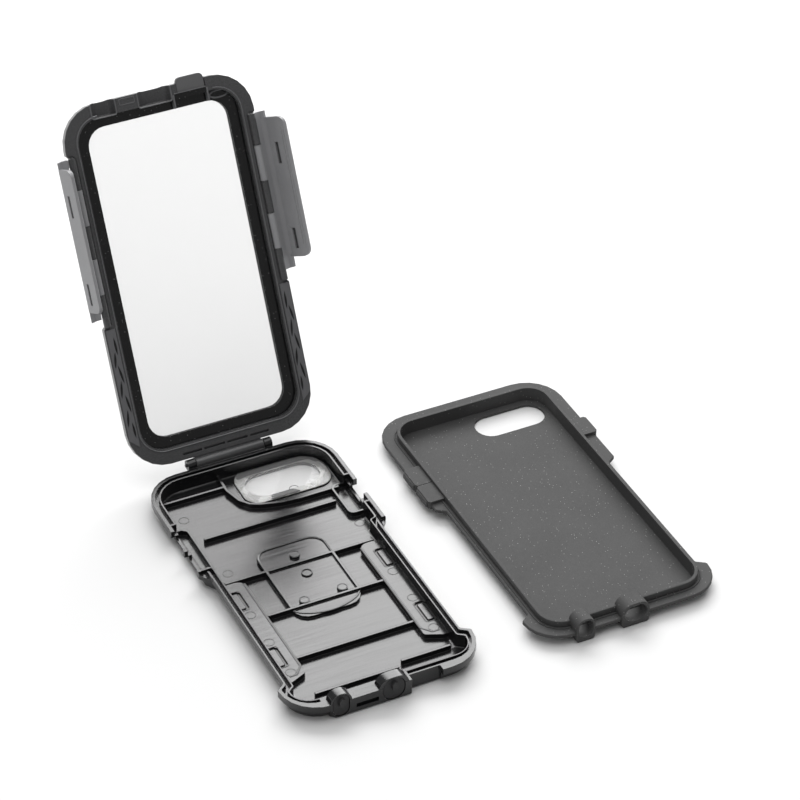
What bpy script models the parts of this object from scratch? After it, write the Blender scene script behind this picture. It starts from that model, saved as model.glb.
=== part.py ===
"""Waterproof phone case: hinged hard shell with two side latches, and its soft liner lying beside it.

Metres, +Z up. X runs across the case, Y along it from the port end to the hinge, and the
origin is under the middle of the tray. The lid stands open on its hinge stop.
"""

import math

import bmesh
import bpy
from mathutils import Matrix, Vector

# Tray outline
HALF_WIDTH = 0.0471
BAY_HALF_WIDTH = 0.04285
TRAY_REAR = 0.0880
TRAY_FRONT = -0.0902
BAY_REAR = 0.0162
BAY_FRONT = -0.0713
SHOULDER = 0.0052
FLARE = 0.0030
CORNER_RADIUS = 0.0185
SHOULDER_RADIUS = 0.0008

# Tray section
RIM_TOP = 0.0084
FLANGE_DEPTH = 0.0034
BODY_INSET = 0.0022
BODY_FILLET = 0.0026
FLOOR_THICKNESS = 0.0013
WALL_TO_CAVITY = 0.0045
BAY_WALL_TO_CAVITY = 0.00335
FRONT_WALL_TO_CAVITY = 0.0067
RIB_HEIGHT = 0.0025
RIB_THICKNESS = 0.0012
GROOVE_WIDTH = 0.00185
GROOVE_DEPTH = 0.0022
GROOVE_INSET = 0.0027
BAY_GROOVE_INSET = 0.00175
FRONT_GROOVE_INSET = 0.0051

# Side platforms inside the tray, and the room under them for the latches
PLATFORM_INNER = 0.0290
PLATFORM_REAR = 0.0082
PLATFORM_FRONT = -0.0610
BAY_UNDERCUT = 0.0026
BAY_UNDERCUT_INNER = 0.0312
POCKET_INNER = 0.0338
POCKET_OUTER = 0.0395
POCKET_DEPTH = 0.0007
POCKET_SPANS = ((-0.0113, 0.0020), (-0.0538, -0.0398))

# Ribs and the raised panel on the tray floor
RIBS = (
    (0.0747, -0.0430, -0.0086),
    (0.0430, -0.0332, 0.0338),
    (0.0095, -0.0300, 0.0300),
    (-0.0190, -0.0300, 0.0300),
    (-0.0505, -0.0300, 0.0300),
    (-0.0720, 0.0123, 0.0366),
    (-0.0752, -0.0310, 0.0096),
)
PANEL_HALF_WIDTH = 0.0166
PANEL_REAR = 0.0245
PANEL_FRONT = -0.0268
PANEL_HEIGHT = 0.0014
BOSS_RADIUS = 0.0025
BOSS_HEIGHT = 0.0026
BOSSES = ((0.0, 0.0150), (-0.0092, -0.0163), (0.0100, -0.0155))
RING_RADIUS = 0.0026

# Camera window in the tray floor
CAMERA_X = 0.0188
CAMERA_Y = 0.0705
CAMERA_LENGTH = 0.0372
CAMERA_WIDTH = 0.0176
CAMERA_BORDER = 0.0036
PANE_MARGIN = 0.0015
PANE_THICKNESS = 0.0008
GASKET_THICKNESS = 0.0004
CLEARANCE = 0.0003

# Button recesses in the tray sides: side, rear end, front end, inner wall, notches in the rim
BUTTON_WALL = 0.0010
BUTTON_WALL_HEIGHT = 0.0026
BUTTON_RECESSES = (
    (1, 0.0540, 0.0305, 0.0355, ((0.0480, 0.0367),)),
    (-1, 0.0542, 0.0174, 0.0372, ((0.0488, 0.0352), (0.0330, 0.0192))),
)
NOTCH_BOTTOM = 0.0038
OUTER_BAND = 0.0018
BODY_WALL = 0.0015
LEDGE_THICKNESS = 0.0006

# Port block at the front
BLOCK_LEFT = -0.0300
BLOCK_RIGHT = 0.0089
TAB_RECESS_RIGHT = 0.0240
TAB_RECESS_DEPTH = 0.0033
COLLAR_DEPTH = 0.0049
COLLAR_TOP = 0.0130
PORT_WALL = 0.0006
PORT_BOTTOM = 0.0009
# name, centre, collar width, plug width, corner radius of the collar
PORTS = (
    ("headphone_plug", -0.0252, 0.0104, 0.0074, 0.0048),
    ("charging_plug", 0.0002, 0.0149, 0.0102, 0.0056),
)
PLUG_DEPTH = 0.0046
PLUG_TAB_HEIGHT = 0.0052
PLUG_TAB_WIDTH = 0.0026
PLUG_TAB_REACH = 0.0012
SPEAKER_SLOT = (-0.0180, -0.0073, 0.0026, 0.0049)

# Hinge between tray and lid
HINGE_SETBACK = 0.0030
HINGE_HEIGHT = 0.0090
HINGE_RADIUS = 0.0026
HINGE_PIN_RADIUS = 0.00075
TRAY_KNUCKLES = ((-0.0215, -0.0173), (0.0180, 0.0218))
LID_KNUCKLE = (-0.0170, 0.0176)
LID_OPEN_ANGLE = math.radians(115.8)

# Lid
LID_GAP_AT_HINGE = 0.0030
LID_FRONT_GAP = 0.0042
LID_THICKNESS = 0.0055
LID_EDGE = 0.0020
LID_RING_WIDTH = 0.0068
LID_REAR_RING = 0.0073
LID_FRONT_RING = 0.0067
WINDOW_HALF_WIDTH = 0.03495
WINDOW_REAR = 0.0125
WINDOW_FRONT = 0.0116
WINDOW_CORNER = 0.0090
BEZEL_THICKNESS = 0.0007
WINDOW_THICKNESS = 0.0009
WINDOW_GASKET_THICKNESS = 0.0005
RAIL_SLOTS = ((-0.0220, -0.0124), (-0.0112, -0.0006), (0.0007, 0.0111), (0.0126, 0.0221))
RAIL_SLOT_FROM_EDGE = 0.0027
RAIL_SLOT_WIDTH = 0.0011
RAIL_SLOT_DEPTH = 0.0016
ARCH_RECESS_LENGTH = 0.0066
ARCH_CLEARANCE = 0.0005
LID_TAB = (0.0118, 0.0255)
LID_TAB_SEAT = 0.0050
LID_TAB_REACH = 0.0025
LID_TAB_THICKNESS = 0.0030

# Latches on the lid's long sides
LATCH_AXIS_X = 0.0450
LATCH_AXIS_DROP = 0.0001
LATCH_RADIUS = 0.00175
LATCH_PIN_RADIUS = 0.0006
LATCH_JOINTS = (0.0742, 0.0897, 0.1070, 0.1227, 0.1400, 0.1550)
LATCH_WEB_OUTER = 0.0020
LATCH_WEB_INNER = -0.0002
LATCH_WEB_TOP = -0.0023
LATCH_FOOT_TOP = -0.0067
LATCH_FOOT_BOTTOM = -0.0085
LATCH_REACH = 0.0130
LATCH_CHAMFER = 0.0035
LATCH_SLOT_INNER = -0.0070
LATCH_SLOT_WIDTH = 0.0020
LATCH_SLOTS = ((0.0874, 0.0977), (0.1291, 0.1395))
LATCH_END_RADIUS = 0.0040
LATCH_REAR_CUT = 0.0044
FOOT_ROOT = 0.0013
FOOT_END_GAP = 0.0004
UNDERCUT_MARGIN = 0.0005
KNUCKLE_GAP = 0.0003
LATCH_ANGLES = (("left_latch", -1, math.radians(80.0)), ("right_latch", 1, math.radians(118.0)))

# Liner beside the tray
LINER_X = 0.1193
LINER_Y = -0.0017
LINER_HALF_WIDTH = 0.0476
LINER_BAY_HALF_WIDTH = 0.0432
LINER_REAR = 0.0882
LINER_FRONT = -0.0893
LINER_FLANGE_TOP = 0.0053
LINER_FLANGE_THICKNESS = 0.0014
LINER_LIP_TOP = 0.0085
LINER_FLOOR = 0.0012
LINER_WALL = 0.0016
PHONE_HALF_WIDTH = 0.03905
PHONE_REAR = 0.0789
PHONE_FRONT = -0.0823
PHONE_CORNER = 0.0098
LINER_PADS = ((1, 0.0478, 0.0350), (-1, 0.0478, 0.0341), (-1, 0.0338, 0.0203))
PAD_REACH = 0.0012
LINER_PORT_TOP = 0.0125

ARC_STEPS = 6
SMALL_ARC_STEPS = 1
ROUND_SIDES = 14


def clear_scene():
    for obj in list(bpy.data.objects):
        bpy.data.objects.remove(obj, do_unlink=True)


def new_collection(name, parent):
    collection = bpy.data.collections.new(name)
    parent.children.link(collection)
    return collection


clear_scene()
CASE = new_collection("waterproof_phone_case", bpy.context.scene.collection)
CUTTERS = new_collection("cutters", bpy.context.scene.collection)


def plastic(name, color, roughness, alpha=1.0, transmission=0.0):
    """A Principled material for one finish of the case."""
    made = bpy.data.materials.new(name)
    made.use_nodes = True
    made.diffuse_color = (*color, alpha)
    shader = made.node_tree.nodes["Principled BSDF"]
    shader.inputs["Base Color"].default_value = (*color, 1.0)
    shader.inputs["Roughness"].default_value = roughness
    shader.inputs["Metallic"].default_value = 0.0
    shader.inputs["Transmission Weight"].default_value = transmission
    return made


def rounded(corners, steps=ARC_STEPS):
    """The points of a closed outline, whose corners (x, y, radius) become arcs."""
    points = []
    for index, (x, y, radius) in enumerate(corners):
        if radius <= 0.0:
            points.append((x, y))
            continue
        corner = Vector((x, y))
        to_before = (Vector(corners[index - 1][:2]) - corner).normalized()
        to_after = (Vector(corners[(index + 1) % len(corners)][:2]) - corner).normalized()
        half = to_before.angle(to_after) / 2
        centre = corner + (to_before + to_after).normalized() * (radius / math.sin(half))
        first = corner + to_before * (radius / math.tan(half)) - centre
        last = corner + to_after * (radius / math.tan(half)) - centre
        start = math.atan2(first.y, first.x)
        turn = (math.atan2(last.y, last.x) - start + math.pi) % math.tau - math.pi
        count = steps if abs(turn) > 1.0 and radius > 0.002 else SMALL_ARC_STEPS
        for step in range(count + 1):
            angle = start + turn * step / count
            points.append((centre.x + radius * math.cos(angle), centre.y + radius * math.sin(angle)))
    return points


def box_outline(x0, y0, x1, y1, radius=0.0, steps=ARC_STEPS):
    return rounded([(x0, y0, radius), (x1, y0, radius), (x1, y1, radius), (x0, y1, radius)], steps)


def mirrored_outline(right_half):
    """Corners of a whole outline from those of its right half, listed from rear to front."""
    left_half = [(-x, y, radius) for x, y, radius in reversed(right_half)]
    return right_half + left_half


def case_outline(side, bay, rear, front, bay_rear, bay_front, shoulder, flare, corner):
    """The outline that tray, groove, cavity and liner share: a long box with a waist for the latches."""
    front_corner = min(corner, bay_front - front - SHOULDER_RADIUS)
    half = [
        (side, rear, corner),
        (side, bay_rear, SHOULDER_RADIUS),
        (bay, bay_rear - shoulder, SHOULDER_RADIUS),
        (bay, bay_front + flare, SHOULDER_RADIUS),
        (side, bay_front, SHOULDER_RADIUS),
        (side, front, front_corner),
    ]
    return rounded(mirrored_outline(half))


def link(obj, material=None, parent=None):
    """Puts a finished mesh object in the case, or among the cutters if it has no material."""
    if material is None:
        CUTTERS.objects.link(obj)
        obj.hide_render = True
        obj.display_type = "WIRE"
    else:
        CASE.objects.link(obj)
        obj.data.materials.append(material)
    obj.parent = parent
    return obj


def plate(name, outline, low, high, plane="XY", holes=(), top=0.0, bottom=0.0, steps=2):
    """A flat outline given thickness from low to high along the third axis, with rounded rims."""
    curve = bpy.data.curves.new(name, "CURVE")
    curve.dimensions = "2D"
    curve.fill_mode = "BOTH"
    curve.extrude = (high - low) / 2
    for loop in (outline, *holes):
        spline = curve.splines.new("POLY")
        spline.points.add(len(loop) - 1)
        for point, (x, y) in zip(spline.points, loop):
            point.co = (x, y, 0.0, 1.0)
        spline.use_cyclic_u = True
    guide = bpy.data.objects.new(name + "_outline", curve)
    mesh = bpy.data.meshes.new_from_object(guide)
    bpy.data.objects.remove(guide, do_unlink=True)
    shape = bmesh.new()
    shape.from_mesh(mesh)
    bmesh.ops.remove_doubles(shape, verts=shape.verts, dist=1e-6)
    for radius, level in ((top, 1), (bottom, -1)):
        if radius > 0.0:
            round_rim(shape, level * (high - low) / 2, radius, steps)
    bmesh.ops.translate(shape, verts=shape.verts, vec=(0.0, 0.0, (high + low) / 2))
    rows = {
        "XY": ((1, 0, 0), (0, 1, 0), (0, 0, 1)),
        "XZ": ((1, 0, 0), (0, 0, 1), (0, 1, 0)),
        "YZ": ((0, 0, 1), (1, 0, 0), (0, 1, 0)),
    }
    bmesh.ops.transform(shape, verts=shape.verts, matrix=Matrix(rows[plane]).to_4x4())
    bmesh.ops.recalc_face_normals(shape, faces=shape.faces)
    shape.to_mesh(mesh)
    shape.free()
    return bpy.data.objects.new(name, mesh)


def round_rim(shape, level, radius, steps):
    """Rounds the edges between a plate's walls and its face at this level."""
    rim = []
    for edge in shape.edges:
        flat = all(abs(vert.co.z - level) < 1e-6 for vert in edge.verts)
        upright = [face for face in edge.link_faces if abs(face.normal.z) < 0.5]
        if flat and len(upright) == 1:
            rim.append(edge)
    bmesh.ops.bevel(shape, geom=rim, offset=radius, segments=steps, profile=0.5, affect="EDGES")


def rod(name, radius, start, end, axis="X", at=(0.0, 0.0), sides=ROUND_SIDES):
    """A round bar along one axis, from start to end, at the two other coordinates."""
    shape = bmesh.new()
    bmesh.ops.create_cone(
        shape, cap_ends=True, segments=sides, radius1=radius, radius2=radius, depth=end - start
    )
    turn = {"X": Matrix.Rotation(math.pi / 2, 4, "Y"), "Y": Matrix.Rotation(math.pi / 2, 4, "X")}
    bmesh.ops.transform(shape, verts=shape.verts, matrix=turn.get(axis, Matrix.Identity(4)))
    middle = (start + end) / 2
    centre = {"X": (middle, *at), "Y": (at[0], middle, at[1]), "Z": (*at, middle)}[axis]
    bmesh.ops.translate(shape, verts=shape.verts, vec=centre)
    mesh = bpy.data.meshes.new(name)
    shape.to_mesh(mesh)
    shape.free()
    return bpy.data.objects.new(name, mesh)


def block(name, x, y, z):
    """A plain box between two values on each axis."""
    shape = bmesh.new()
    bmesh.ops.create_cube(shape, size=1.0)
    bmesh.ops.scale(shape, verts=shape.verts, vec=(x[1] - x[0], y[1] - y[0], z[1] - z[0]))
    bmesh.ops.translate(
        shape, verts=shape.verts, vec=((x[0] + x[1]) / 2, (y[0] + y[1]) / 2, (z[0] + z[1]) / 2)
    )
    mesh = bpy.data.meshes.new(name)
    shape.to_mesh(mesh)
    shape.free()
    return bpy.data.objects.new(name, mesh)


def apply_to(target, operation, tools):
    """Joins tools to the target or cuts them from it, all at once, with one Boolean."""
    count = sum(1 for modifier in target.modifiers if modifier.type == "BOOLEAN")
    group = new_collection(f"{target.name}_{operation.lower()}_{count}", CUTTERS)
    for tool in tools:
        group.objects.link(tool)
        tool.hide_render = True
        tool.display_type = "WIRE"
        if tool.parent is None:
            tool.parent = target.parent
    modifier = target.modifiers.new(operation.title(), "BOOLEAN")
    modifier.operation = operation
    modifier.solver = "MANIFOLD"
    modifier.operand_type = "COLLECTION"
    modifier.collection = group


def join(target, *tools):
    apply_to(target, "UNION", tools)


def cut(target, *tools):
    apply_to(target, "DIFFERENCE", tools)


def smooth(obj):
    """Soft shading across small angles, crisp edges elsewhere."""
    obj.data.shade_smooth()
    obj.data.set_sharp_from_angle(angle=math.radians(35.0))


def path_wall(name, path, thickness, low, high):
    """A thin wall that follows an open path on the floor."""
    left = []
    right = []
    for index, (x, y) in enumerate(path):
        before = path[max(index - 1, 0)]
        after = path[min(index + 1, len(path) - 1)]
        length = math.hypot(after[0] - before[0], after[1] - before[1])
        across = ((before[1] - after[1]) / length, (after[0] - before[0]) / length)
        left.append((x + across[0] * thickness / 2, y + across[1] * thickness / 2))
        right.append((x - across[0] * thickness / 2, y - across[1] * thickness / 2))
    return plate(name, left + right[::-1], low, high)


# Materials
SHELL_BLACK = plastic("moulded_shell_black", (0.02, 0.02, 0.021), 0.28)
LID_BLACK = plastic("moulded_lid_black", (0.024, 0.024, 0.025), 0.38)
LATCH_BLACK = plastic("moulded_latch_black", (0.028, 0.028, 0.029), 0.42)
CLEAR = plastic("clear_pane", (0.95, 0.96, 0.96), 0.06, alpha=0.35, transmission=1.0)
BORDER_BLACK = plastic("pane_border_black", (0.012, 0.012, 0.013), 0.2)
BOND_GREY = plastic("pane_bond_grey", (0.3, 0.3, 0.31), 0.5)
RUBBER_BLACK = plastic("plug_rubber", (0.03, 0.03, 0.03), 0.75)
LINER_GREY = plastic("liner_silicone", (0.085, 0.085, 0.087), 0.8)
PIN_BLACK = plastic("pin_steel", (0.05, 0.05, 0.05), 0.35)

CAVITY_SIDE = HALF_WIDTH - WALL_TO_CAVITY
CAVITY_BAY = BAY_HALF_WIDTH - BAY_WALL_TO_CAVITY
CAVITY_REAR = TRAY_REAR - WALL_TO_CAVITY
CAVITY_FRONT = TRAY_FRONT + FRONT_WALL_TO_CAVITY
RIB_TOP = FLOOR_THICKNESS + RIB_HEIGHT
EMBED = 0.0008


def groove_ring():
    """The seal groove round the rim, broken at the button recesses and at the port block."""
    def edge(offset):
        return case_outline(
            HALF_WIDTH - GROOVE_INSET + offset,
            BAY_HALF_WIDTH - BAY_GROOVE_INSET + offset,
            TRAY_REAR - GROOVE_INSET + offset,
            TRAY_FRONT + FRONT_GROOVE_INSET - offset,
            BAY_REAR + 0.0014 - offset,
            BAY_FRONT - 0.0012 + offset,
            0.0009,
            0.0022,
            CORNER_RADIUS - GROOVE_INSET + offset,
        )

    low = RIM_TOP - GROOVE_DEPTH
    half = GROOVE_WIDTH / 2
    ring = plate("seal_groove", edge(half), low, RIM_TOP + 0.002, holes=(edge(-half),))
    ring = link(ring)
    stops = [
        block(
            "groove_stop_ports",
            (BLOCK_LEFT - 0.0030, BLOCK_RIGHT),
            (TRAY_FRONT - 0.002, CAVITY_FRONT + 0.002),
            (low - 0.001, RIM_TOP + 0.003),
        )
    ]
    for side, rear, front, _, _ in BUTTON_RECESSES:
        span = sorted((side * (HALF_WIDTH + 0.002), side * (CAVITY_SIDE - 0.002)))
        stops.append(
            block(f"groove_stop_{side}", span, (front, rear), (low - 0.001, RIM_TOP + 0.003))
        )
    cut(ring, *stops)
    return ring


def cavity_outline(margin=0.0):
    """The tray's hollow in plan, shrunk by a margin."""
    return case_outline(
        CAVITY_SIDE - margin,
        CAVITY_BAY - margin,
        CAVITY_REAR - margin,
        CAVITY_FRONT + margin,
        BAY_REAR + 0.0028 + margin,
        BAY_FRONT - 0.0028 - margin,
        0.0011,
        0.0024,
        CORNER_RADIUS - WALL_TO_CAVITY - margin,
    )


def tray_floor_pieces():
    """Ribs, camera wall, raised panel, bosses, side platforms and button walls, all standing on the floor."""
    base = FLOOR_THICKNESS - EMBED
    pieces = []
    for index, (y, x0, x1) in enumerate(RIBS):
        pieces.append(
            block(f"rib_{index}", (x0, x1), (y - RIB_THICKNESS / 2, y + RIB_THICKNESS / 2), (base, RIB_TOP))
        )
    for side in (-1, 1):
        edge = side * PANEL_HALF_WIDTH
        pieces.append(
            block(
                f"panel_rib_{side}",
                (edge - RIB_THICKNESS / 2, edge + RIB_THICKNESS / 2),
                (RIBS[3][0], RIBS[2][0]),
                (base, RIB_TOP),
            )
        )
        pieces.append(platform(side, base))
    panel = box_outline(
        -PANEL_HALF_WIDTH, PANEL_FRONT, PANEL_HALF_WIDTH, PANEL_REAR, radius=0.0075, steps=4
    )
    panel_top = FLOOR_THICKNESS + PANEL_HEIGHT
    pieces.append(plate("panel", panel, base, panel_top))
    for index, at in enumerate(BOSSES):
        boss = rod(f"boss_{index}", BOSS_RADIUS, base, FLOOR_THICKNESS + BOSS_HEIGHT, "Z", at)
        pieces.append(boss)
    pieces.append(rod("ring_boss", RING_RADIUS, base, panel_top + 0.0003, "Z", (0.0, 0.0014)))
    half_length = CAMERA_LENGTH / 2 + CAMERA_BORDER + RIB_THICKNESS + 0.0032
    left = CAMERA_X - half_length
    corner = (CAMERA_X - CAMERA_LENGTH / 2, CAMERA_Y - CAMERA_WIDTH / 2)
    path = [
        (left - 0.0012, CAVITY_REAR + EMBED),
        (left - 0.0016, corner[1] + 0.0098),
        (left + 0.0008, corner[1] + 0.0008),
        (left + 0.0042, corner[1] - 0.0038),
        (left + 0.0088, corner[1] - 0.0062),
        (left + 0.0177, corner[1] - 0.0087),
        (left + 0.0272, corner[1] - 0.0096),
        (BUTTON_RECESSES[0][3] + 0.004, corner[1] - 0.0096),
    ]
    pieces.append(path_wall("camera_wall", path, RIB_THICKNESS, base, RIB_TOP))
    for side, rear, front, inner, _ in BUTTON_RECESSES:
        pieces.append(button_wall(side, rear, front, inner, base))
    return pieces


def platform(side, base):
    """The raised floor beside the phone bed, over the room that the latch foot needs."""
    outer = CAVITY_BAY + EMBED
    inner = PLATFORM_INNER
    corners = [
        (outer, PLATFORM_REAR, 0.0),
        (outer, PLATFORM_FRONT - 0.0036, 0.0),
        (inner + 0.0080, PLATFORM_FRONT - 0.0035, 0.0010),
        (inner, PLATFORM_FRONT, 0.0010),
        (inner, PLATFORM_REAR, 0.0040),
    ]
    outline = rounded([(side * x, y, radius) for x, y, radius in corners], 4)
    return plate(f"platform_{side}", outline, base, RIB_TOP)


def button_wall(side, rear, front, inner, base):
    """A low wall that closes the trough behind the side buttons."""
    outer = CAVITY_SIDE + EMBED
    outline = [
        (outer, rear, 0.0),
        (inner, rear, 0.0030),
        (inner, front, 0.0030),
        (outer, front, 0.0),
        (outer, front + BUTTON_WALL, 0.0),
        (inner + BUTTON_WALL, front + BUTTON_WALL, 0.0020),
        (inner + BUTTON_WALL, rear - BUTTON_WALL, 0.0020),
        (outer, rear - BUTTON_WALL, 0.0),
    ]
    points = rounded([(side * x, y, radius) for x, y, radius in outline], 4)
    return plate(f"button_wall_{side}", points, base, FLOOR_THICKNESS + BUTTON_WALL_HEIGHT)


def tray_cuts():
    """Cuts made after the floor pieces are joined on."""
    cuts = [groove_ring()]
    for side in (-1, 1):
        for index, (front, rear) in enumerate(POCKET_SPANS):
            x0, x1 = sorted((side * POCKET_INNER, side * POCKET_OUTER))
            outline = box_outline(x0, front, x1, rear, radius=0.0012, steps=2)
            cuts.append(plate(f"pocket_{side}_{index}", outline, RIB_TOP - POCKET_DEPTH, RIB_TOP + 0.001))
        cuts.append(undercut(side))
        cuts.append(knuckle_scoop(side))
    for side, rear, front, _, notches in BUTTON_RECESSES:
        ledge = RIM_TOP - FLANGE_DEPTH + LEDGE_THICKNESS
        wall_inside = HALF_WIDTH - BODY_INSET - BODY_WALL
        for index, (reach, low) in enumerate(
            ((wall_inside, FLOOR_THICKNESS + 0.0002), (HALF_WIDTH - OUTER_BAND, ledge))
        ):
            x0, x1 = sorted((side * (CAVITY_SIDE - 0.0005), side * reach))
            cuts.append(
                block(
                    f"trough_{side}_{index}",
                    (x0, x1),
                    (front + BUTTON_WALL, rear - BUTTON_WALL),
                    (low, RIM_TOP + 0.001),
                )
            )
        for index, (notch_rear, notch_front) in enumerate(notches):
            x0, x1 = sorted((side * (CAVITY_SIDE + 0.0002), side * (HALF_WIDTH + 0.001)))
            cuts.append(
                block(
                    f"notch_{side}_{index}",
                    (x0, x1),
                    (notch_front, notch_rear),
                    (NOTCH_BOTTOM, RIM_TOP + 0.002),
                )
            )
    cuts.append(pill("camera_hole", 0.0, -0.001, RIB_TOP + 0.001))
    cuts.append(
        block(
            "tab_recess",
            (BLOCK_RIGHT, TAB_RECESS_RIGHT),
            (TRAY_FRONT - 0.002, TRAY_FRONT + TAB_RECESS_DEPTH),
            (-0.001, RIM_TOP + 0.001),
        )
    )
    x0, x1, z0, z1 = SPEAKER_SLOT
    cuts.append(block("speaker_slot", (x0, x1), (TRAY_FRONT - 0.001, TRAY_FRONT + 0.0016), (z0, z1)))
    for name, centre, _, width, _ in PORTS:
        ends = (TRAY_FRONT - 0.002, CAVITY_FRONT + 0.002)
        cuts.append(port_shape(name + "_hole", centre, width, CLEARANCE, *ends))
    return cuts


def undercut(side):
    """The room under a side platform that the closed latch wraps into."""
    inner = BAY_UNDERCUT_INNER
    flange_bottom = RIM_TOP - FLANGE_DEPTH
    section = [
        (inner, -0.002),
        (HALF_WIDTH + 0.002, -0.002),
        (HALF_WIDTH + 0.002, flange_bottom + 0.0004),
        (BAY_HALF_WIDTH + 0.0002, flange_bottom + 0.0004),
        (BAY_HALF_WIDTH - BODY_INSET, BAY_UNDERCUT),
        (inner + 0.0008, BAY_UNDERCUT),
    ]
    points = [(side * x, z) for x, z in section]
    return plate(f"undercut_{side}", points, PLATFORM_FRONT, PLATFORM_REAR - UNDERCUT_MARGIN, plane="XZ")


def knuckle_scoop(side):
    """The hollow in the rear shoulder that the closed lid's first latch knuckle lies in."""
    rear = TRAY_REAR + HINGE_SETBACK - LATCH_JOINTS[0] + CLEARANCE
    at = (side * LATCH_AXIS_X, HINGE_HEIGHT - LATCH_AXIS_DROP)
    return rod(f"knuckle_scoop_{side}", LATCH_RADIUS + CLEARANCE, BAY_REAR - 0.008, rear, "Y", at)


def pill(name, margin, low, high):
    """The camera window's rounded outline, grown by a margin."""
    x = CAMERA_LENGTH / 2 + margin
    y = CAMERA_WIDTH / 2 + margin
    outline = box_outline(CAMERA_X - x, CAMERA_Y - y, CAMERA_X + x, CAMERA_Y + y, y * 0.98)
    return plate(name, outline, low, high)


def port_shape(name, centre, width, margin, front, back):
    """A port's upright rounded oval, grown by a margin, running along Y."""
    top = COLLAR_TOP - PORT_WALL - CLEARANCE + margin
    half = width / 2 + margin
    outline = box_outline(centre - half, PORT_BOTTOM - margin, centre + half, top, half * 0.92, steps=5)
    return plate(name, outline, front, back, plane="XZ")


def rear_tray():
    """The black rear shell: flange, body, cavity, ribs, groove, port block and hinge knuckles."""
    outer = case_outline(
        HALF_WIDTH, BAY_HALF_WIDTH, TRAY_REAR, TRAY_FRONT, BAY_REAR, BAY_FRONT, SHOULDER, FLARE, CORNER_RADIUS
    )
    body = case_outline(
        HALF_WIDTH - BODY_INSET,
        BAY_HALF_WIDTH - BODY_INSET / 2,
        TRAY_REAR - BODY_INSET / 2,
        TRAY_FRONT + BODY_INSET,
        BAY_REAR - 0.0006,
        BAY_FRONT - 0.0006,
        SHOULDER,
        FLARE,
        CORNER_RADIUS - BODY_INSET,
    )
    tray = link(plate("rear_tray", outer, RIM_TOP - FLANGE_DEPTH, RIM_TOP), SHELL_BLACK)
    flange_middle = RIM_TOP - FLANGE_DEPTH / 2
    join(tray, plate("tray_body", body, 0.0, flange_middle, bottom=BODY_FILLET, steps=2))
    join(tray, port_block(), *port_collars())
    cut(tray, plate("cavity", cavity_outline(), FLOOR_THICKNESS, RIM_TOP + 0.001, bottom=0.0012))
    join(tray, *tray_floor_pieces())
    cut(tray, *tray_cuts())
    join(tray, *tray_knuckles())
    cut(tray, hinge_bore("tray_pin_bore"))
    smooth(tray)
    return tray


def port_block():
    """The thick front wall that carries the two port openings."""
    outline = rounded(
        [
            (BLOCK_LEFT, CAVITY_FRONT - EMBED, 0.0),
            (BLOCK_LEFT, TRAY_FRONT, 0.0020),
            (BLOCK_RIGHT, TRAY_FRONT, 0.0004),
            (BLOCK_RIGHT, CAVITY_FRONT - EMBED, 0.0),
        ]
    )
    return plate("port_block", outline, 0.0, RIM_TOP - 0.0002, bottom=0.0006, steps=1)


def port_collars():
    """The rounded collars that rise over the rim round each port."""
    collars = []
    for name, centre, width, _, corner in PORTS:
        half = width / 2
        outline = rounded(
            [
                (centre - half, RIM_TOP - 0.0040, 0.0),
                (centre + half, RIM_TOP - 0.0040, 0.0),
                (centre + half, COLLAR_TOP, corner),
                (centre - half, COLLAR_TOP, corner),
            ],
            6,
        )
        low = TRAY_FRONT + 0.0001
        collars.append(plate(name + "_collar", outline, low, TRAY_FRONT + COLLAR_DEPTH, plane="XZ"))
    return collars


def tray_knuckles():
    """The two hinge ears on the tray's rear wall."""
    hinge_y = TRAY_REAR + HINGE_SETBACK
    ears = []
    for index, (x0, x1) in enumerate(TRAY_KNUCKLES):
        section = [
            (TRAY_REAR - 0.0010, HINGE_HEIGHT - 0.0050),
            (hinge_y, HINGE_HEIGHT - HINGE_RADIUS + 0.0003),
            (hinge_y, HINGE_HEIGHT - 0.0004),
            (TRAY_REAR - 0.0010, HINGE_HEIGHT - 0.0007),
        ]
        ears.append(plate(f"ear_arm_{index}", section, x0 + 0.0001, x1 - 0.0001, plane="YZ"))
        ears.append(rod(f"ear_{index}", HINGE_RADIUS, x0, x1, "X", (hinge_y, HINGE_HEIGHT)))
    return ears


def hinge_bore(name, y=TRAY_REAR + HINGE_SETBACK, z=HINGE_HEIGHT):
    reach = (TRAY_KNUCKLES[0][0] - 0.002, TRAY_KNUCKLES[1][1] + 0.002)
    return rod(name, HINGE_PIN_RADIUS + CLEARANCE, *reach, "X", (y, z), sides=12)


def hinge_pin():
    pin = rod(
        "hinge_pin",
        HINGE_PIN_RADIUS,
        TRAY_KNUCKLES[0][0] - 0.0008,
        TRAY_KNUCKLES[1][1] - 0.0003,
        "X",
        (TRAY_REAR + HINGE_SETBACK, HINGE_HEIGHT),
        sides=12,
    )
    smooth(link(pin, PIN_BLACK))


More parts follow.
